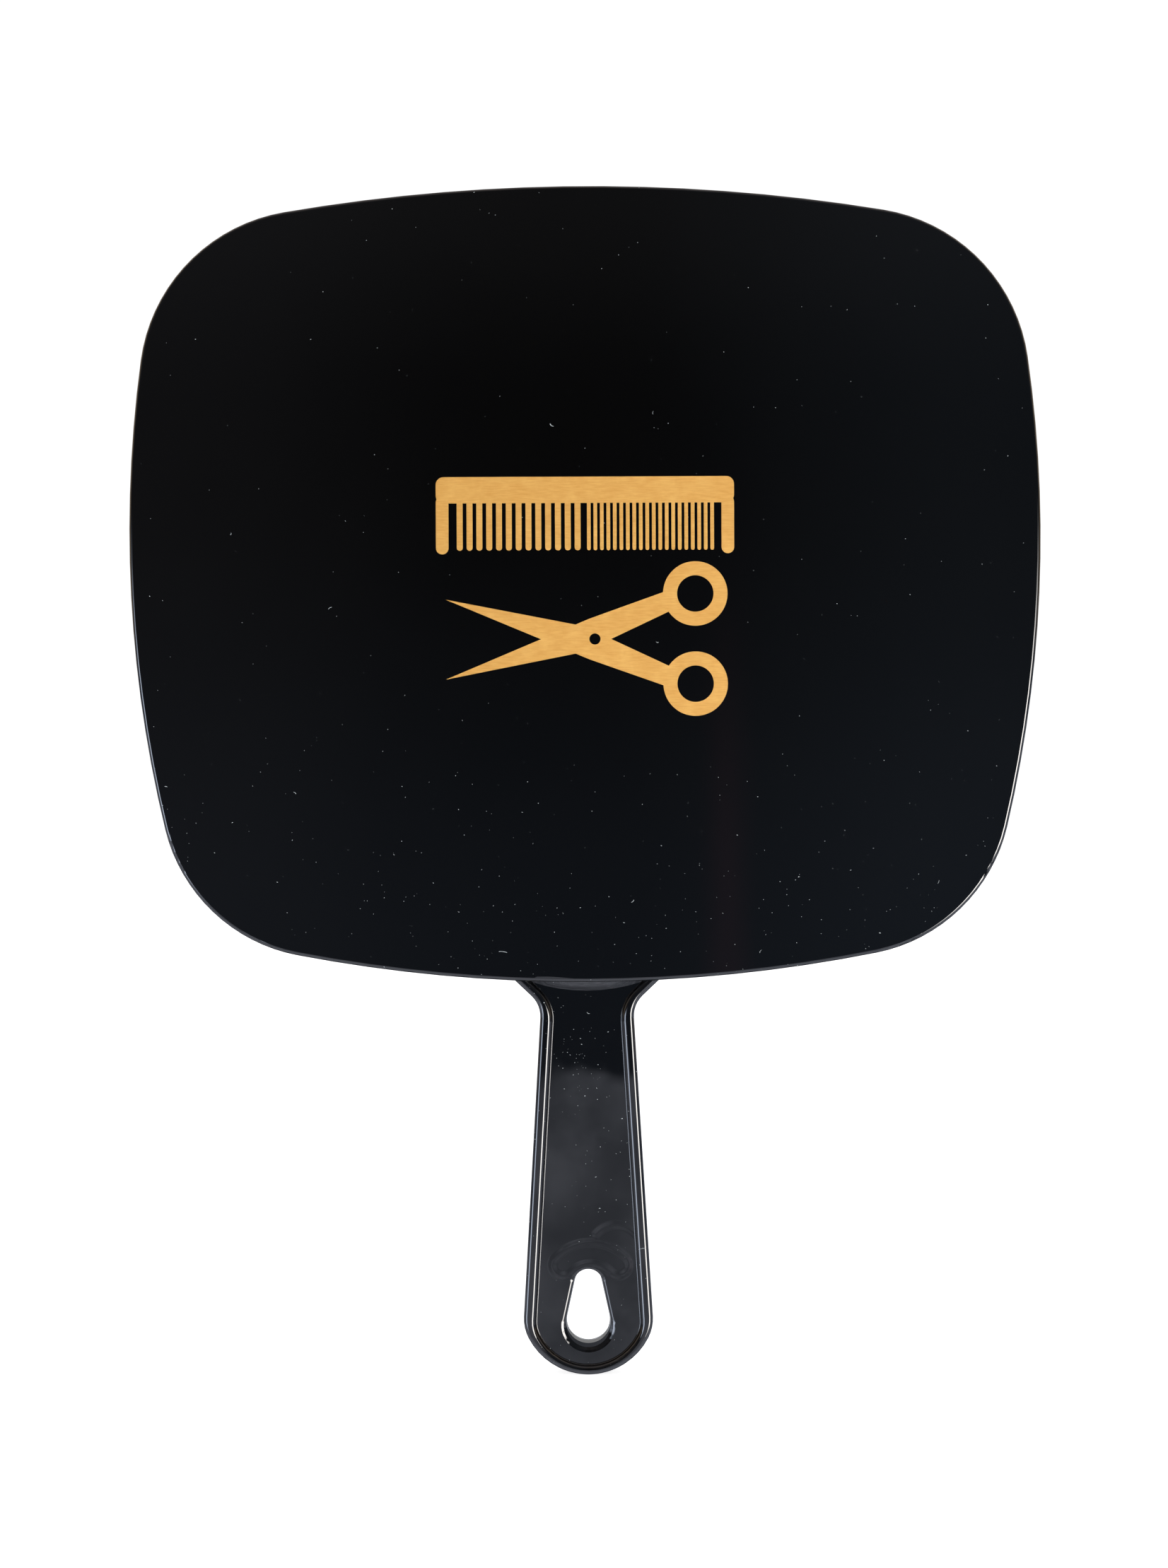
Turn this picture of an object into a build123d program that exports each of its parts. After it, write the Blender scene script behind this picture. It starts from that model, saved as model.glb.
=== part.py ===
from build123d import *

import os
from math import sqrt

# A large hand mirror for a salon: a wide rounded head on a short grip, in black plastic.
# The mirror stands upright. +Z runs from the grip up to the head, +Y is the way the glass
# faces, and the origin is the middle of the grip. All sizes are in millimetres.
# A level is a distance behind the mirror's middle plane: the back has positive levels and
# the glass side has negative ones.

# Head outline: four wide arcs, joined by four rounded corners
HEAD_WIDTH = 260.0
HEAD_HEIGHT = 227.1
TOP_RADIUS = 520.0
BOTTOM_RADIUS = 432.5
SIDE_RADIUS = 362.3
WIDEST_ABOVE_BOTTOM = 128.0
TOP_CORNER_RADIUS = 49.6
BOTTOM_CORNER_RADIUS = 47.9

# Grip outline: it flares where it meets the head, and widens towards its round end
GRIP_LENGTH = 112.3
NECK_HALF_WIDTH = 13.2
NECK_BELOW_HEAD = 6.6
NECK_RADIUS = 8.0
ROOT_HALF_WIDTH = 28.6
ROOT_INSIDE_HEAD = 8.0
END_HALF_WIDTH = 18.6
END_RADIUS = 19.3
END_CORNER_RADIUS = 12.0

# Levels, from the back to the glass side
COVER_BACK = 6.5
RIM_TOP = 5.0
COVER_SEAT = 4.1
FLOOR = 3.6
GLASS_FRONT = -3.0
FRONT = -RIM_TOP

# A level beyond every face, for cuts that go right through
BEYOND = 10.0

# Grip section: a rounded rim round a recessed floor, the same on both sides
RIM_OUTER_ROUND = 1.2
RIM_WIDTH = 3.2
RIM_THINNER_AT_END = 0.85
RECESS_TAPER = 12.0
RECESS_TOP_ROUND = 1.25
RECESS_FLOOR_ROUND = 0.4
RAMP_LENGTH = 2.6
RAMP_HALF_WIDTH = 16.0

# Hanging hole: a teardrop, narrow end up, in a shallow dish of the same kind
HOLE_TOP_ABOVE_END = 30.1
HOLE_BOTTOM_ABOVE_END = 8.8
HOLE_NARROW_RADIUS = 4.15
HOLE_WIDE_RADIUS = 6.45
HOLE_DRAFT = 5.0
DISH_TOP_MARGIN = 0.2
DISH_BOTTOM_MARGIN = 2.25
DISH_NARROW_RADIUS = 4.95
DISH_WIDE_RADIUS = 7.4
DISH_SLOPE = 1.1
DISH_DEPTH = 0.55
DISH_EDGE_ROUND = 1.4

# Ring round the head
WALL = 2.4
BEZEL_WIDTH = 10.0
FENCE_OUTER_INSET = 5.2
FENCE_INNER_INSET = 6.4
FENCE_TOP = 0.4
BEZEL_ROUND = 1.5
WINDOW_ROUND = 1.0
PARTING_CHAMFER = 0.2
ROOT_BLOCK_WIDTH = 52.0
ROOT_BLOCK_HEIGHT = 9.6
ROOT_BLOCK_TOP = 1.4
GRIP_INSIDE_WALL = 1.8

# Back cover's fastening: a skirt with beads that click into a groove in the ring's wall
SKIRT_GAP = 0.15
SKIRT_THICKNESS = 1.2
SKIRT_DEPTH = 2.5
GROOVE_DEPTH = 0.4
GROOVE_LOW = 1.75
GROOVE_HIGH = 2.65
BEAD_LENGTH = 14.0
BEAD_BLOCK = 28.0
BEAD_REACH = 0.3
BEAD_CLEARANCE = 0.1
BEAD_X = 62.0
BEAD_Z_ABOVE_WIDEST = 38.0
COVER_CLEARANCE = 0.15
COVER_EDGE_ROUND = 1.0

# Glass, its two coats and the foam behind them
GLASS_INSET = 6.8
GLASS_THICKNESS = 2.0
GLASS_EDGE_CHAMFER = 0.3
COAT_INSET = 7.3
COAT_THICKNESS = 0.1
PAD_LENGTH = 28.0
PAD_WIDTH = 20.0
PAD_CORNER = 1.0
PAD_COLUMN_SPACING = 78.0
PAD_ROW_SPACING = 92.0
PAD_SEAT_HEIGHT = 2.5
PAD_SEAT_LENGTH = 30.0
PAD_SEAT_WIDTH = 22.0
RIB_HEIGHT = 2.0
RIB_THICKNESS = 1.0

# Gold foil mark on the cover: a comb over a pair of open scissors
FOIL = 0.1
COMB_WIDTH = 85.0
COMB_TOP_BELOW_HEAD_TOP = 83.0
SPINE_HEIGHT = 7.5
SPINE_CORNER = 2.2
TOOTH_DROP = 14.5
TOOTH_ROOT = 1.0
GUARD_WIDTH = 3.6
COARSE_TEETH = 13
COARSE_START = 2.1
COARSE_PITCH = 2.8
COARSE_WIDTH = 1.7
FINE_TEETH = 20
FINE_START = 1.1
FINE_PITCH = 1.85
FINE_WIDTH = 1.05
PIVOT_BELOW_HEAD_TOP = 129.3
PIVOT_X = 2.7
OPENING = 15.0
BLADE_LENGTH = 44.0
BLADE_BACK = 6.0
SHANK_LENGTH = 25.0
SHANK_OUTER = 8.0
SHANK_INNER = 2.5
LOOP_X = 31.0
LOOP_Y = 5.0
LOOP_OUTER_RADIUS = 9.2
LOOP_INNER_RADIUS = 5.2
PIVOT_HOLE_RADIUS = 1.6

# Heights that follow from the sizes above
HEAD_BOTTOM = GRIP_LENGTH / 2
GRIP_END = -GRIP_LENGTH / 2
HEAD_TOP = HEAD_BOTTOM + HEAD_HEIGHT
WIDEST = HEAD_BOTTOM + WIDEST_ABOVE_BOTTOM
GLASS_BACK = GLASS_FRONT + GLASS_THICKNESS
SILVER_BACK = GLASS_BACK + COAT_THICKNESS
PAINT_BACK = SILVER_BACK + COAT_THICKNESS
SKIRT_OUTER_INSET = WALL + SKIRT_GAP
SKIRT_INNER_INSET = SKIRT_OUTER_INSET + SKIRT_THICKNESS

os.makedirs("parts", exist_ok=True)


def level(height):
    """The drawing plane at a level: its x is +X and its y is +Z."""
    return Plane.XZ.offset(height)


def finish(piece, name):
    """Name a finished piece and write it."""
    piece.label = name
    export_step(piece, f"parts/{name}.step")


def head_outline(inset):
    """The head's outline, drawn in by an inset all round, or out by a negative one."""
    with BuildSketch() as outline:
        with Locations((0, HEAD_TOP - TOP_RADIUS)):
            Circle(TOP_RADIUS - inset)
        with Locations((0, HEAD_BOTTOM + BOTTOM_RADIUS)):
            Circle(BOTTOM_RADIUS - inset, mode=Mode.INTERSECT)
        for side in (1, -1):
            with Locations((side * (HEAD_WIDTH / 2 - SIDE_RADIUS), WIDEST)):
                Circle(SIDE_RADIUS - inset, mode=Mode.INTERSECT)
        fillet(outline.vertices().group_by(Axis.Y)[-1], TOP_CORNER_RADIUS - inset)
        fillet(outline.vertices().group_by(Axis.Y)[0], BOTTOM_CORNER_RADIUS - inset)
    return outline.sketch


def head_face(height, inset):
    """The head's outline at a level, drawn in by an inset."""
    with BuildSketch(level(height)) as face:
        add(head_outline(inset))
    return face.sketch


def head_band(height, outer_inset, inner_inset):
    """A band at a level that follows the head's outline between two insets."""
    with BuildSketch(level(height)) as face:
        add(head_outline(outer_inset))
        add(head_outline(inner_inset), mode=Mode.SUBTRACT)
    return face.sketch


def teardrop(height, top, bottom, narrow, wide):
    """A teardrop at a level, between two heights, with the narrow round end on top."""
    with BuildSketch(level(height)) as face:
        with Locations((0, top - narrow)):
            Circle(narrow)
        with Locations((0, bottom + wide)):
            Circle(wide)
        make_hull()
    return face.sketch


def comb_face():
    """The comb of the mark: a spine with coarse teeth on one side and fine teeth on the other."""
    top = HEAD_TOP - COMB_TOP_BELOW_HEAD_TOP
    tooth_z = top - SPINE_HEIGHT - TOOTH_DROP / 2 + TOOTH_ROOT
    with BuildSketch(level(COVER_BACK)) as face:
        with Locations((0, top - SPINE_HEIGHT / 2)):
            RectangleRounded(COMB_WIDTH, SPINE_HEIGHT, SPINE_CORNER)
        for side in (1, -1):
            with Locations((side * (COMB_WIDTH - GUARD_WIDTH) / 2, tooth_z)):
                SlotOverall(TOOTH_DROP + 2 * TOOTH_ROOT, GUARD_WIDTH, rotation=90)
        for tooth in range(COARSE_TEETH):
            with Locations((-COARSE_START - tooth * COARSE_PITCH, tooth_z)):
                SlotOverall(TOOTH_DROP, COARSE_WIDTH, rotation=90)
        for tooth in range(FINE_TEETH):
            with Locations((FINE_START + tooth * FINE_PITCH, tooth_z)):
                SlotOverall(TOOTH_DROP, FINE_WIDTH, rotation=90)
    return face.sketch


def scissors_face():
    """The open scissors of the mark: two crossed halves, each a blade, a shank and a loop."""
    blade = [(-BLADE_LENGTH, 0), (0, BLADE_BACK), (BLADE_BACK, 0), (0, -BLADE_BACK / 2)]
    shank = [(0, BLADE_BACK), (SHANK_LENGTH, SHANK_OUTER), (SHANK_LENGTH, SHANK_INNER), (0, -BLADE_BACK / 3)]
    with BuildSketch() as half:
        for corners in (blade, shank):
            with BuildLine():
                Polyline(*corners, close=True)
            make_face()
        with Locations((LOOP_X, LOOP_Y)):
            Circle(LOOP_OUTER_RADIUS)
            Circle(LOOP_INNER_RADIUS, mode=Mode.SUBTRACT)
    with BuildSketch(level(COVER_BACK)) as face:
        with Locations((PIVOT_X, HEAD_TOP - PIVOT_BELOW_HEAD_TOP)):
            upper = half.sketch.rotate(Axis.Z, OPENING)
            add(upper)
            add(mirror(upper, about=Plane.XZ, mode=Mode.PRIVATE))
            Circle(PIVOT_HOLE_RADIUS, mode=Mode.SUBTRACT)
    return face.sketch


# The grip as seen from the back

end_corner_z = GRIP_END + END_RADIUS - sqrt(END_RADIUS**2 - END_HALF_WIDTH**2)
flank = [
    (ROOT_HALF_WIDTH, HEAD_BOTTOM + ROOT_INSIDE_HEAD),
    (NECK_HALF_WIDTH, HEAD_BOTTOM - NECK_BELOW_HEAD),
    (END_HALF_WIDTH, end_corner_z),
]
with BuildSketch() as grip_outline:
    with BuildLine():
        right = Polyline(*flank)
        left = Polyline(*[(-x, z) for x, z in flank])
        Line(right @ 0, left @ 0)
        ThreePointArc(right @ 1, (0, GRIP_END), left @ 1)
    make_face()
    fillet(grip_outline.vertices().group_by(Axis.Y)[1], NECK_RADIUS)
    fillet(grip_outline.vertices().group_by(Axis.Y)[0], END_CORNER_RADIUS)


# Ring round the head: an outer wall, a flat bezel in front of the glass, and a low fence
# that keeps the glass central. It is joined to the grip below, in one moulding.

with BuildPart() as ring:
    extrude(head_face(FRONT, 0), amount=COVER_SEAT - FRONT)
    fillet(ring.faces().sort_by(Axis.Y)[-1].edges(), BEZEL_ROUND)
    chamfer(ring.faces().sort_by(Axis.Y)[0].edges(), PARTING_CHAMFER)
    extrude(head_face(COVER_SEAT, WALL), amount=GLASS_FRONT - COVER_SEAT, mode=Mode.SUBTRACT)
    extrude(head_band(GLASS_FRONT, FENCE_OUTER_INSET, FENCE_INNER_INSET), amount=FENCE_TOP - GLASS_FRONT)
    with BuildSketch(level(GLASS_FRONT)):
        with Locations((0, HEAD_BOTTOM)):
            Rectangle(ROOT_BLOCK_WIDTH, ROOT_BLOCK_HEIGHT)
        add(head_outline(WALL / 2), mode=Mode.INTERSECT)
        add(head_outline(FENCE_OUTER_INSET), mode=Mode.SUBTRACT)
    extrude(amount=ROOT_BLOCK_TOP - GLASS_FRONT)
    extrude(head_face(FRONT, BEZEL_WIDTH), amount=GLASS_FRONT - FRONT, mode=Mode.SUBTRACT)
    fillet(ring.faces().sort_by(Axis.Y)[-1].inner_wires()[0].edges(), WINDOW_ROUND)
    extrude(
        head_face(GROOVE_LOW, WALL - GROOVE_DEPTH),
        amount=GROOVE_HIGH - GROOVE_LOW,
        mode=Mode.SUBTRACT,
    )


# Frame: the grip, with the ring added to it

dome_radius = (RAMP_HALF_WIDTH**2 + RAMP_LENGTH**2) / (2 * RAMP_LENGTH)
dome_foot = HEAD_BOTTOM - RAMP_LENGTH
dome_z = dome_foot + dome_radius

with BuildPart() as frame:
    with BuildSketch(level(FRONT)):
        add(grip_outline.sketch)
    extrude(amount=2 * RIM_TOP)
    # All but the two edges at the very top, which end inside the ring
    fillet(frame.faces().filter_by(Axis.Y).edges().sort_by(Axis.Z)[:-2], RIM_OUTER_ROUND)

    for side in (1, -1):
        with BuildSketch(level(side * RIM_TOP)):
            with Locations((0, -RIM_THINNER_AT_END)):
                add(offset(grip_outline.sketch, amount=-RIM_WIDTH, mode=Mode.PRIVATE))
        extrude(amount=-side * (RIM_TOP - FLOOR), taper=RECESS_TAPER, mode=Mode.SUBTRACT)
    rims = frame.faces().filter_by(Axis.Y).group_by(Axis.Y)
    for rim, floor in ((rims[0], rims[1]), (rims[-1], rims[-2])):
        floor_edges = floor[0].outer_wire().edges()
        fillet(rim[0].inner_wires()[0].edges(), RECESS_TOP_ROUND)
        fillet(floor_edges, RECESS_FLOOR_ROUND)

    hole_top = GRIP_END + HOLE_TOP_ABOVE_END
    hole_bottom = GRIP_END + HOLE_BOTTOM_ABOVE_END
    dish_top = hole_top + DISH_TOP_MARGIN
    dish_bottom = hole_bottom - DISH_BOTTOM_MARGIN
    for side in (1, -1):
        mouth = teardrop(side * FLOOR, dish_top, dish_bottom, DISH_NARROW_RADIUS, DISH_WIDE_RADIUS)
        foot = teardrop(
            side * (FLOOR - DISH_DEPTH),
            dish_top - DISH_SLOPE,
            dish_bottom + DISH_SLOPE,
            DISH_NARROW_RADIUS - DISH_SLOPE,
            DISH_WIDE_RADIUS - DISH_SLOPE,
        )
        loft([mouth, foot], ruled=True, mode=Mode.SUBTRACT)
    dished = frame.faces().filter_by(Axis.Y).group_by(Axis.Y)
    for floor in (dished[1], dished[-2]):
        fillet(floor[0].inner_wires()[0].edges(), DISH_EDGE_ROUND)
    for side in (1, -1):
        extrude(
            teardrop(side * FLOOR, hole_top, hole_bottom, HOLE_NARROW_RADIUS, HOLE_WIDE_RADIUS),
            amount=-side * FLOOR,
            taper=HOLE_DRAFT,
            mode=Mode.SUBTRACT,
        )

    # A low dome under the head's edge lifts the grip's back floor to the ring's wall
    with BuildSketch(Plane.YZ):
        with BuildLine():
            rise = TangentArc((-FLOOR, dome_foot), (-COVER_SEAT, dome_foot + RAMP_LENGTH), tangent=(0, 1))
            Polyline(rise @ 1, (-COVER_SEAT, dome_z), (0, dome_z), (0, dome_foot), rise @ 0)
        make_face()
    revolve(axis=Axis((0, 0, dome_z), (0, 1, 0)))

    # The grip ends inside the ring's wall, and leaves room for the cover's edge
    extrude(head_face(COVER_SEAT, -COVER_CLEARANCE), amount=BEYOND, mode=Mode.SUBTRACT)
    extrude(head_face(-BEYOND, GRIP_INSIDE_WALL), amount=2 * BEYOND, mode=Mode.SUBTRACT)
    add(ring.part)

finish(frame.part, "frame")


# Back cover of the head: a flat plate with a beaded skirt, ribs and seats for the foam

head_centre = (HEAD_BOTTOM + HEAD_TOP) / 2

with BuildPart() as back_cover:
    extrude(head_face(COVER_SEAT, 0), amount=COVER_BACK - COVER_SEAT)
    fillet(back_cover.faces().sort_by(Axis.Y)[0].edges(), COVER_EDGE_ROUND)
    chamfer(back_cover.faces().sort_by(Axis.Y)[-1].edges(), PARTING_CHAMFER)
    extrude(head_band(COVER_SEAT, SKIRT_OUTER_INSET, SKIRT_INNER_INSET), amount=-SKIRT_DEPTH)
    with BuildSketch(level(GROOVE_LOW + BEAD_CLEARANCE)):
        with Locations((0, WIDEST)):
            with GridLocations(HEAD_WIDTH, 2 * BEAD_Z_ABOVE_WIDEST, 2, 2):
                Rectangle(BEAD_BLOCK, BEAD_LENGTH)
        with Locations((0, head_centre)):
            with GridLocations(2 * BEAD_X, HEAD_HEIGHT, 2, 2):
                Rectangle(BEAD_LENGTH, BEAD_BLOCK)
        add(head_outline(SKIRT_OUTER_INSET - BEAD_REACH), mode=Mode.INTERSECT)
        add(head_outline(SKIRT_INNER_INSET), mode=Mode.SUBTRACT)
    extrude(amount=GROOVE_HIGH - GROOVE_LOW - 2 * BEAD_CLEARANCE)
    with BuildSketch(level(COVER_SEAT)):
        with Locations((0, head_centre)):
            with GridLocations(PAD_COLUMN_SPACING, 0, 3, 1):
                Rectangle(RIB_THICKNESS, HEAD_HEIGHT)
            with GridLocations(0, PAD_ROW_SPACING / 2, 1, 3):
                Rectangle(HEAD_WIDTH, RIB_THICKNESS)
        add(head_outline(SKIRT_OUTER_INSET + SKIRT_THICKNESS / 2), mode=Mode.INTERSECT)
    extrude(amount=-RIB_HEIGHT)
    with BuildSketch(level(COVER_SEAT)):
        with Locations((0, head_centre)):
            with GridLocations(PAD_COLUMN_SPACING, PAD_ROW_SPACING, 3, 2):
                RectangleRounded(PAD_SEAT_LENGTH, PAD_SEAT_WIDTH, PAD_CORNER)
    extrude(amount=-PAD_SEAT_HEIGHT)

    for face in (comb_face(), scissors_face()):
        extrude(face, amount=-FOIL, mode=Mode.SUBTRACT)

finish(back_cover.part, "back_cover")


# Mirror glass with ground edges, and the silver and paint behind it

with BuildPart() as mirror_glass:
    extrude(head_face(GLASS_FRONT, GLASS_INSET), amount=GLASS_THICKNESS)
    chamfer(mirror_glass.faces().filter_by(Axis.Y).edges(), GLASS_EDGE_CHAMFER)

finish(mirror_glass.part, "mirror_glass")

with BuildPart() as silver_coat:
    extrude(head_face(GLASS_BACK, COAT_INSET), amount=COAT_THICKNESS)

finish(silver_coat.part, "silver_coat")

with BuildPart() as backing_paint:
    extrude(head_face(SILVER_BACK, COAT_INSET), amount=COAT_THICKNESS)

finish(backing_paint.part, "backing_paint")


# Foam pads between the paint and their seats on the cover

pad_places = GridLocations(PAD_COLUMN_SPACING, PAD_ROW_SPACING, 3, 2).locations
for number, place in enumerate(pad_places, start=1):
    with BuildPart() as foam_pad:
        with BuildSketch(level(PAINT_BACK)):
            with Locations((place.position.X, place.position.Y + head_centre)):
                RectangleRounded(PAD_LENGTH, PAD_WIDTH, PAD_CORNER)
        extrude(amount=COVER_SEAT - PAD_SEAT_HEIGHT - PAINT_BACK)
    finish(foam_pad.part, f"foam_pad_{number}")


# Gold foil mark, pressed flush into its seat in the cover

with BuildPart() as emblem_comb:
    extrude(comb_face(), amount=-FOIL)

finish(emblem_comb.part, "emblem_comb")

with BuildPart() as emblem_scissors:
    extrude(scissors_face(), amount=-FOIL)

finish(emblem_scissors.part, "emblem_scissors")
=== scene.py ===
import math

import bpy
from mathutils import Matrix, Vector

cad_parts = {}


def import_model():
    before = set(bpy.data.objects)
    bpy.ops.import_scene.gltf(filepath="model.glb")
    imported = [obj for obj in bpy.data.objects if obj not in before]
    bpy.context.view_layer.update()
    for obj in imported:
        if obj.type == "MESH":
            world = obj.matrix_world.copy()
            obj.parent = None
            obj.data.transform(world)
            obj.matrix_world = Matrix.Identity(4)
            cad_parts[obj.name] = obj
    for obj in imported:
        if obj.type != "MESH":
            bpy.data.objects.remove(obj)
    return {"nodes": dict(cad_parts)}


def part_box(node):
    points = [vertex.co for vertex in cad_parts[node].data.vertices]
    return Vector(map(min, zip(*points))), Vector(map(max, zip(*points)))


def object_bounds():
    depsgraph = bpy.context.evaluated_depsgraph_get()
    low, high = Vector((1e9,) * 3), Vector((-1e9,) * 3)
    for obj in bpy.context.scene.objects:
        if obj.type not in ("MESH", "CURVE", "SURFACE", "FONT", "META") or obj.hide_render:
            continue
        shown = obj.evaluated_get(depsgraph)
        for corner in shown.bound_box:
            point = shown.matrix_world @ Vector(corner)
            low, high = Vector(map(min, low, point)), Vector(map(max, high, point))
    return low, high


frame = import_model()
cad_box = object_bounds()

# ---------------------------------------------------------------- sizes, all in metres

LOWEST, HIGHEST = Vector(cad_box[0]), Vector(cad_box[1])
OBJECT_HEIGHT = HIGHEST.z - LOWEST.z
HEAD_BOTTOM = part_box("back_cover")[0][2]

# The object fills this share of the picture's height, a little above its middle
HEIGHT_SHARE = 0.7594
CENTRE_DROP = 0.0009
CAMERA_SIDE = -0.0006
CAMERA_DISTANCE = 0.85
CAMERA_ROLL = math.radians(0.25)
SENSOR_MM = 36

# Brightness of what the camera sees round the object, and of the even light on it
BACKDROP = (1.05, 1.05, 1.05, 1)
EVEN_LIGHT = (0.6, 0.6, 0.6, 1)
FLOOR_GLOW = 0.8

FLOOR_HALF_WIDTH = 5.0
FLOOR_FRONT = -3.0
FLOOR_BACK = 6.0

MM = 0.001


def srgb(red, green, blue):
    """A colour given as it looks on a screen, 0 to 255, as linear light."""
    def linear(value):
        value /= 255
        return value / 12.92 if value <= 0.04045 else ((value + 0.055) / 1.055) ** 2.4
    return (linear(red), linear(green), linear(blue), 1.0)


# ---------------------------------------------------------------- node building

class Tree:
    """Adds nodes to a node tree. An input is a number, a tuple or another node's output."""

    def __init__(self, tree):
        self.nodes, self.links = tree.nodes, tree.links

    def set(self, socket, value):
        if isinstance(value, bpy.types.NodeSocket):
            self.links.new(value, socket)
        else:
            socket.default_value = value

    def math(self, operation, *values):
        node = self.nodes.new("ShaderNodeMath")
        node.operation = operation
        for socket, value in zip(node.inputs, values):
            self.set(socket, value)
        return node.outputs[0]

    def add(self, first, *rest):
        for value in rest:
            first = self.math("ADD", first, value)
        return first

    def times(self, first, *rest):
        for value in rest:
            first = self.math("MULTIPLY", first, value)
        return first

    def vector(self, operation, *values):
        """A vector operation. The last value of SCALE is the factor."""
        node = self.nodes.new("ShaderNodeVectorMath")
        node.operation = operation
        sockets = [node.inputs[0], node.inputs["Scale"]] if operation == "SCALE" else node.inputs
        for socket, value in zip(sockets, values):
            self.set(socket, value)
        return node.outputs["Value" if operation == "LENGTH" else "Vector"]

    def split(self, vector):
        node = self.nodes.new("ShaderNodeSeparateXYZ")
        self.set(node.inputs[0], vector)
        return node.outputs[0], node.outputs[1], node.outputs[2]

    def join(self, x, y, z=0.0):
        node = self.nodes.new("ShaderNodeCombineXYZ")
        for socket, value in zip(node.inputs, (x, y, z)):
            self.set(socket, value)
        return node.outputs[0]

    def ease(self, value, start, end, low=0.0, high=1.0):
        """From low, where value is start, smoothly to high, where it is end."""
        node = self.nodes.new("ShaderNodeMapRange")
        node.interpolation_type = "SMOOTHSTEP"
        for name, number in (("Value", value), ("From Min", start), ("From Max", end),
                             ("To Min", low), ("To Max", high)):
            self.set(node.inputs[name], number)
        return node.outputs["Result"]

    def window(self, value, low, high, soft):
        """1 between low and high, and 0 outside, over a soft edge."""
        rise = self.ease(value, low - soft, low + soft)
        return self.times(rise, self.ease(value, high + soft, high - soft))

    def noise(self, vector, scale, detail=2.0, rough=0.5):
        node = self.nodes.new("ShaderNodeTexNoise")
        self.set(node.inputs["Vector"], vector)
        for name, number in (("Scale", scale), ("Detail", detail), ("Roughness", rough)):
            node.inputs[name].default_value = number
        return node.outputs["Fac"]

    def cells(self, vector, scale):
        """Scattered points on a plane: the distance to the nearest, its own random colour and place."""
        node = self.nodes.new("ShaderNodeTexVoronoi")
        node.voronoi_dimensions = "2D"
        self.set(node.inputs["Vector"], vector)
        node.inputs["Scale"].default_value = scale
        return node.outputs["Distance"], self.split(node.outputs["Color"]), node.outputs["Position"]

    def mix(self, share, first, second):
        """A colour between first and second."""
        node = self.nodes.new("ShaderNodeMix")
        node.data_type = "RGBA"
        self.set(node.inputs["Factor"], share)
        self.set(node.inputs[6], first)
        self.set(node.inputs[7], second)
        return node.outputs[2]

    def bump(self, height):
        """A bump from a height in metres."""
        node = self.nodes.new("ShaderNodeBump")
        node.inputs["Strength"].default_value = 1.0
        node.inputs["Distance"].default_value = 1.0
        self.set(node.inputs["Height"], height)
        return node.outputs["Normal"]


def new_material(name):
    """A material's tree, its shader, and the place on the object that its patterns follow."""
    material = bpy.data.materials.new(name)
    material.use_nodes = True
    tree = Tree(material.node_tree)
    place = tree.nodes.new("ShaderNodeTexCoord").outputs["Object"]
    return material, tree, tree.nodes["Principled BSDF"], place


# ---------------------------------------------------------------- black plastics

def dust(tree, x, z, thick):
    """Specks of dust and a few fibres, as a mask. thick is the share of places that hold a speck."""
    sway = tree.times(tree.noise(tree.join(x, z), 90, 1), 12 * MM)
    flat = tree.join(tree.add(tree.times(x, 0.83), tree.times(z, 0.56), sway),
                     tree.add(tree.times(x, -0.56), tree.times(z, 0.83), tree.times(sway, -0.7)))
    masks = []
    for per_metre, radius in ((1100, 0.13), (500, 0.075)):
        distance, chance, _ = tree.cells(flat, per_metre)
        reach = tree.ease(chance[1], 0, 1, 0.4 * radius, radius)
        inner = tree.times(reach, 0.5)
        spot = tree.ease(distance, reach, inner)
        masks.append(tree.times(spot, tree.math("LESS_THAN", chance[0], thick)))
    _, chance, middle = tree.cells(flat, 130)
    away = tree.vector("SUBTRACT", flat, middle)
    turn = tree.nodes.new("ShaderNodeVectorRotate")
    turn.rotation_type = "Z_AXIS"
    tree.set(turn.inputs["Vector"], away)
    tree.set(turn.inputs["Angle"], tree.times(chance[2], math.tau))
    along, across, _ = tree.split(turn.outputs["Vector"])
    bent = tree.add(across, tree.times(along, along, 900))
    width = tree.ease(tree.math("ABSOLUTE", bent), 0.08 * MM, 0.03 * MM)
    length = tree.ease(tree.math("ABSOLUTE", along), 0.5 * MM, 0.4 * MM)
    masks.append(tree.times(width, length, tree.math("LESS_THAN", chance[0], tree.times(thick, 1.5))))
    total = masks[0]
    for mask in masks[1:]:
        total = tree.math("MAXIMUM", total, mask)
    return total


def black_plastic(name, tint, dust_share, height):
    """Glossy black plastic with dust, duller worn patches and a faint moulding ripple.

    dust_share(tree, x, z) says where dust lies. height(tree, x, z) says how the back departs from its
    plane, in metres.
    """
    material, tree, shader, place = new_material(name)
    x, y, z = tree.split(place)
    specks = dust(tree, x, z, dust_share(tree, x, z))
    cloud = tree.noise(place, 22, 3)
    tone = tree.mix(cloud, tuple(0.75 * c for c in tint[:3]) + (1,), tuple(1.25 * c for c in tint[:3]) + (1,))
    tree.set(shader.inputs["Base Color"], tree.mix(tree.times(specks, 0.85), tone, srgb(212, 220, 224)))
    worn = tree.ease(tree.noise(place, 60, 4, 0.6), 0.45, 0.8, 0.015, 0.06)
    tree.set(shader.inputs["Roughness"], tree.add(worn, tree.times(specks, 0.5)))
    shader.inputs["IOR"].default_value = 1.5
    ripple = tree.times(tree.noise(place, 35, 1), 0.012 * MM)
    marks = tree.times(height(tree, x, z), tree.math("LESS_THAN", y, 0.0))
    tree.set(shader.inputs["Normal"], tree.bump(tree.add(ripple, marks)))
    return material


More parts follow.
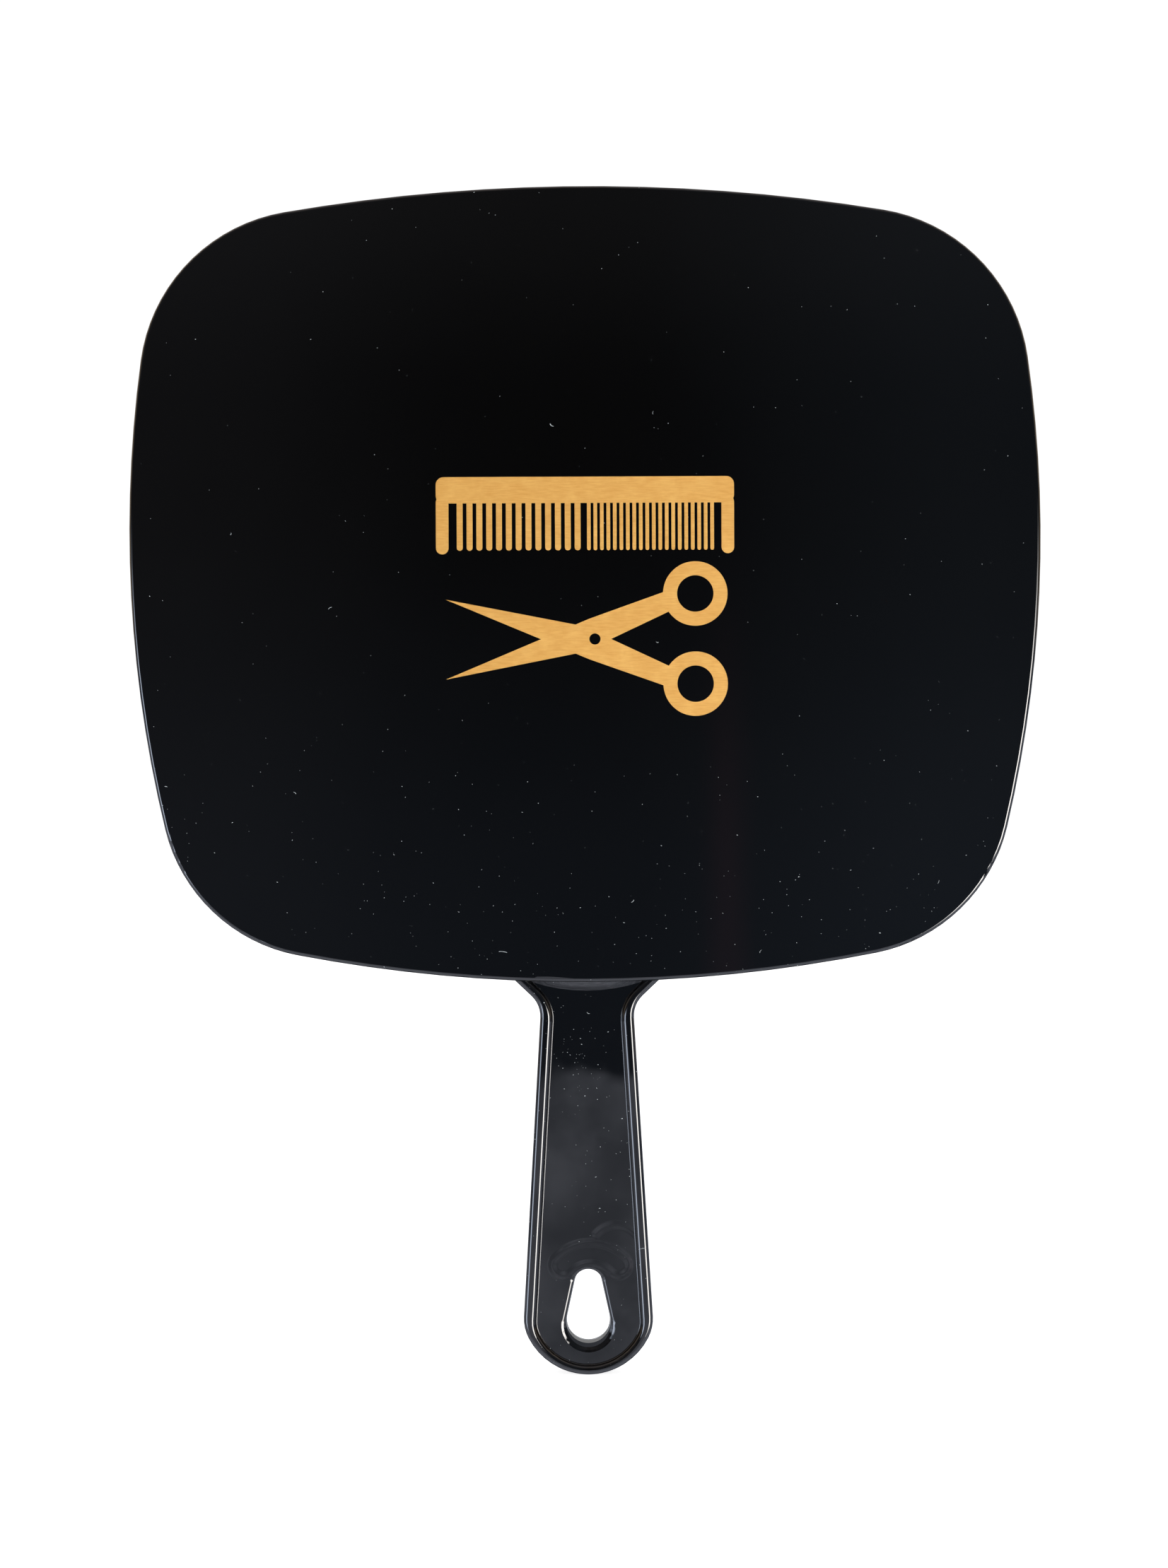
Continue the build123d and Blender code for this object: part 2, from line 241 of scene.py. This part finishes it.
def frame_dust(tree, x, z):
    """Thickest on the grip's upper part."""
    upper = tree.times(tree.window(z, 26 * MM, 42 * MM, 7 * MM), tree.window(x, -7 * MM, 5 * MM, 4 * MM))
    return tree.add(0.025, tree.times(upper, 0.14))


def cover_dust(tree, x, z):
    """Sparse, and thicker along the lower edge."""
    return tree.ease(z, 150 * MM, 60 * MM, 0.003, 0.02)


def arc_distance(tree, x, z, centre, radius, half_angle):
    """The distance to an arc that is centred on the point straight above its centre."""
    right = tree.math("SUBTRACT", x, centre[0])
    up = tree.math("SUBTRACT", z, centre[1])
    angle = tree.math("ARCTAN2", right, up)
    held = tree.math("MAXIMUM", tree.math("MINIMUM", angle, half_angle), -half_angle)
    off_x = tree.math("SUBTRACT", right, tree.times(tree.math("SINE", held), radius))
    off_z = tree.math("SUBTRACT", up, tree.times(tree.math("COSINE", held), radius))
    return tree.vector("LENGTH", tree.join(off_x, off_z))


def frame_height(tree, x, z):
    """The kidney-shaped sink mark over the hanging hole, and a fainter one above it."""
    kidney = arc_distance(tree, x, z, (0.7 * MM, -32.4 * MM), 10.9 * MM, math.radians(47))
    ring = tree.window(kidney, 2.3 * MM, 3.7 * MM, 0.9 * MM)
    upper = arc_distance(tree, x, z, (8.0 * MM, -21.0 * MM), 7.5 * MM, math.radians(50))
    trace = tree.window(upper, -1, 0.7 * MM, 0.9 * MM)
    return tree.add(tree.times(ring, 0.022 * MM), tree.times(trace, 0.014 * MM))


def cover_height(tree, x, z):
    """A strip at the lower edge, over the grip, leans back a little. It narrows to the right."""
    narrowing = tree.ease(x, -12 * MM, 1 * MM, 1.65 * MM, 0.8 * MM)
    strip = tree.times(narrowing, tree.ease(x, -16.6 * MM, -14.2 * MM), tree.ease(x, 16.5 * MM, 10 * MM))
    drop = tree.math("MINIMUM", tree.math("SUBTRACT", z, tree.add(strip, HEAD_BOTTOM)), 0.0)
    return tree.times(drop, tree.window(x, -16 * MM, 16 * MM, 0.5 * MM), 0.03)


# ---------------------------------------------------------------- the other materials

def gold_foil():
    """Hot-pressed gold foil with a fine slanting grain and small worn patches."""
    material, tree, shader, place = new_material("gold_foil")
    slant = tree.nodes.new("ShaderNodeMapping")
    slant.inputs["Rotation"].default_value = (0, math.radians(35), 0)
    slant.inputs["Scale"].default_value = (260, 1, 2600)
    tree.set(slant.inputs["Vector"], place)
    grain = tree.noise(slant.outputs["Vector"], 1.0, 3, 0.6)
    patches = tree.noise(place, 140, 4, 0.6)
    share = tree.add(tree.ease(grain, 0.25, 0.75, 0, 0.6), tree.ease(patches, 0.35, 0.75, 0, 0.4))
    tree.set(shader.inputs["Base Color"], tree.mix(share, srgb(194, 140, 60), srgb(216, 168, 88)))
    shader.inputs["Metallic"].default_value = 0.25
    tree.set(shader.inputs["Roughness"], tree.ease(grain, 0.3, 0.7, 0.38, 0.55))
    tree.set(shader.inputs["Normal"], tree.bump(tree.times(grain, 0.004 * MM)))
    return material


def mirror_glass():
    """Silvered float glass, as it looks from the front: a mirror, faintly green, with a little dust."""
    material, tree, shader, place = new_material("mirror_glass")
    x, _, z = tree.split(place)
    specks = dust(tree, x, z, 0.006)
    smears = tree.noise(tree.vector("MULTIPLY", place, (8.0, 1.0, 30.0)), 1.0, 4, 0.6)
    wiped = tree.ease(smears, 0.5, 0.8, 0.0, 0.02)
    tree.set(shader.inputs["Base Color"], tree.mix(specks, (0.88, 0.92, 0.9, 1), (0.7, 0.7, 0.7, 1)))
    tree.set(shader.inputs["Roughness"], tree.add(wiped, tree.times(specks, 0.6)))
    tree.set(shader.inputs["Metallic"], tree.add(1.0, tree.times(specks, -1.0)))
    shader.inputs["Coat Weight"].default_value = 1.0
    shader.inputs["Coat Roughness"].default_value = 0.0
    shader.inputs["Coat IOR"].default_value = 1.52
    return material


def silver():
    material, tree, shader, place = new_material("silver")
    blotch = tree.noise(place, 30, 3)
    tree.set(shader.inputs["Base Color"], tree.mix(blotch, (0.93, 0.93, 0.92, 1), (0.96, 0.96, 0.955, 1)))
    shader.inputs["Metallic"].default_value = 1.0
    tree.set(shader.inputs["Roughness"], tree.ease(blotch, 0.4, 0.8, 0.0, 0.02))
    return material


def backing_paint():
    """Grey-green protective paint, brushed on."""
    material, tree, shader, place = new_material("backing_paint")
    strokes = tree.noise(tree.vector("MULTIPLY", place, (300.0, 1.0, 40.0)), 1.0, 3)
    tree.set(shader.inputs["Base Color"], tree.mix(strokes, srgb(88, 98, 94), srgb(112, 122, 116)))
    tree.set(shader.inputs["Roughness"], tree.ease(strokes, 0.2, 0.8, 0.55, 0.75))
    tree.set(shader.inputs["Normal"], tree.bump(tree.times(strokes, 0.02 * MM)))
    return material


def foam():
    """Foam: pale, with pores whose darker colour is painted shade in the pores."""
    material, tree, shader, place = new_material("foam")
    pores = tree.noise(place, 1800, 2, 0.7)
    solid = tree.ease(pores, 0.35, 0.6)
    # The pores take the darker colour: painted shade in the pores, where the foam itself is pale
    tree.set(shader.inputs["Base Color"], tree.mix(solid, srgb(150, 148, 140), srgb(226, 224, 216)))
    shader.inputs["Roughness"].default_value = 0.95
    tree.set(shader.inputs["Normal"], tree.bump(tree.times(solid, 0.15 * MM)))
    return material


FOIL = gold_foil()
FOAM = foam()
LOOKS = {
    "frame": black_plastic("frame_plastic", srgb(9, 9, 10), frame_dust, frame_height),
    "back_cover": black_plastic("cover_plastic", srgb(8.5, 8.5, 9), cover_dust, cover_height),
    "mirror_glass": mirror_glass(),
    "silver_coat": silver(),
    "backing_paint": backing_paint(),
    "emblem_comb": FOIL,
    "emblem_scissors": FOIL,
}
for name, node in frame["nodes"].items():
    node.data.materials.clear()
    node.data.materials.append(LOOKS.get(name, FOAM))


# ---------------------------------------------------------------- stage, light and camera

def floor():
    """A pale floor, lit well enough that no shadow shows on it."""
    mesh = bpy.data.meshes.new("floor")
    corners = [(side * FLOOR_HALF_WIDTH, y, LOWEST.z) for side, y in
               ((-1, FLOOR_FRONT), (1, FLOOR_FRONT), (1, FLOOR_BACK), (-1, FLOOR_BACK))]
    mesh.from_pydata(corners, [], [(0, 1, 2, 3)])
    material, tree, shader, place = new_material("floor")
    paper = tree.noise(place, 3, 2)
    tree.set(shader.inputs["Base Color"], tree.mix(paper, (0.84, 0.84, 0.84, 1), (0.88, 0.88, 0.88, 1)))
    shader.inputs["Roughness"].default_value = 0.9
    shader.inputs["Emission Color"].default_value = (1, 1, 1, 1)
    shader.inputs["Emission Strength"].default_value = FLOOR_GLOW
    mesh.materials.append(material)
    obj = bpy.data.objects.new("floor", mesh)
    bpy.context.scene.collection.objects.link(obj)
    obj.visible_glossy = False


def world():
    """White to the camera, and even soft light all round.

    What the gloss reflects is a studio. Behind the object it is dark, with a pale table top, a bright
    softbox to the right, a dimmer bluish one to the left, and walls beside. Ahead of the glass it is pale.
    """
    sky = bpy.data.worlds.new("studio")
    bpy.context.scene.world = sky
    sky.use_nodes = True
    sky.cycles.sampling_method = "NONE"
    tree = Tree(sky.node_tree)
    tree.nodes.clear()
    direction = tree.nodes.new("ShaderNodeTexCoord").outputs["Generated"]
    x, y, z = tree.split(direction)
    # A direction is its angle to the side, where the back faces 0 degrees, and its angle up
    side = tree.times(tree.math("ARCTAN2", x, tree.times(y, -1.0)), math.degrees(1))
    up = tree.times(tree.math("ARCSINE", z), math.degrees(1))
    turned = tree.math("ABSOLUTE", side)
    behind = tree.ease(turned, 125, 75)
    beside = tree.times(tree.ease(turned, 50, 90), tree.ease(turned, 150, 115))

    # The table's edge is uneven, and its top is cloudy
    cloud = tree.noise(direction, 38, 4, 0.6)
    edge = tree.add(up, tree.ease(tree.noise(direction, 45, 2), 0.3, 0.7, -0.25, 0.25))
    table = tree.times(
        tree.ease(edge, -5.45, -5.85),
        tree.ease(up, -13, -30, 1.0, 2.0),
        tree.ease(cloud, 0.3, 0.7, 0.5, 1.1),
        behind,
    )
    boxes_high = tree.window(up, -17, 2, 4)
    above = tree.ease(up, -4, 3)
    parts = (
        (table, (0.9, 0.93, 1.06)),
        (tree.times(tree.window(side, 15, 40, 3), boxes_high), (26, 25, 24)),
        (tree.times(tree.window(side, -50, -24, 4), boxes_high), (8.5, 9.5, 11.5)),
        (tree.times(beside, above, tree.ease(up, 80, 50)), (1.3, 1.0, 0.7)),
        (tree.times(beside, tree.ease(up, 3, -4)), (0.3, 0.32, 0.4)),
        (tree.ease(up, 30, 75), (0.7, 0.6, 0.56)),
        (tree.times(behind, tree.ease(side, -1, -9)), (0.07, 0.07, 0.08)),
        (tree.ease(up, 6, -4), (0.07, 0.095, 0.14)),
        (tree.ease(up, 7, 12), (0.07, 0.07, 0.075)),
        (tree.times(behind, tree.ease(side, 0, 8)), (0.07, 0.09, 0.12)),
        (tree.times(tree.window(side, 2.5, 3.0, 0.4), tree.ease(up, 5, -2)), (0.10, 0.03, 0.04)),
    )
    seen = (0.0, 0.0, 0.0)
    for mask, colour in parts:
        seen = tree.vector("ADD", seen, tree.vector("SCALE", colour, mask))
    ahead = tree.times(tree.ease(y, 0.1, 0.8), tree.ease(up, -30, 35, 0.25, 0.8))
    seen = tree.vector("ADD", seen, tree.join(ahead, ahead, ahead))

    path = tree.nodes.new("ShaderNodeLightPath").outputs
    even = tree.mix(path["Is Camera Ray"], EVEN_LIGHT, BACKDROP)
    background = tree.nodes.new("ShaderNodeBackground")
    tree.set(background.inputs["Color"], tree.mix(path["Is Glossy Ray"], even, seen))
    output = tree.nodes.new("ShaderNodeOutputWorld")
    tree.links.new(background.outputs[0], output.inputs["Surface"])


def camera():
    lens = bpy.data.cameras.new("camera")
    lens.sensor_width = SENSOR_MM
    lens.lens = SENSOR_MM * CAMERA_DISTANCE / (OBJECT_HEIGHT / HEIGHT_SHARE)
    lens.clip_start = 0.01
    obj = bpy.data.objects.new("camera", lens)
    middle = (LOWEST.z + HIGHEST.z) / 2 - CENTRE_DROP
    obj.location = (CAMERA_SIDE, LOWEST.y - CAMERA_DISTANCE, middle)
    obj.rotation_euler = (math.radians(90), CAMERA_ROLL, 0)
    bpy.context.scene.collection.objects.link(obj)
    bpy.context.scene.camera = obj


floor()
world()
camera()
bpy.context.scene.view_settings.view_transform = "Standard"
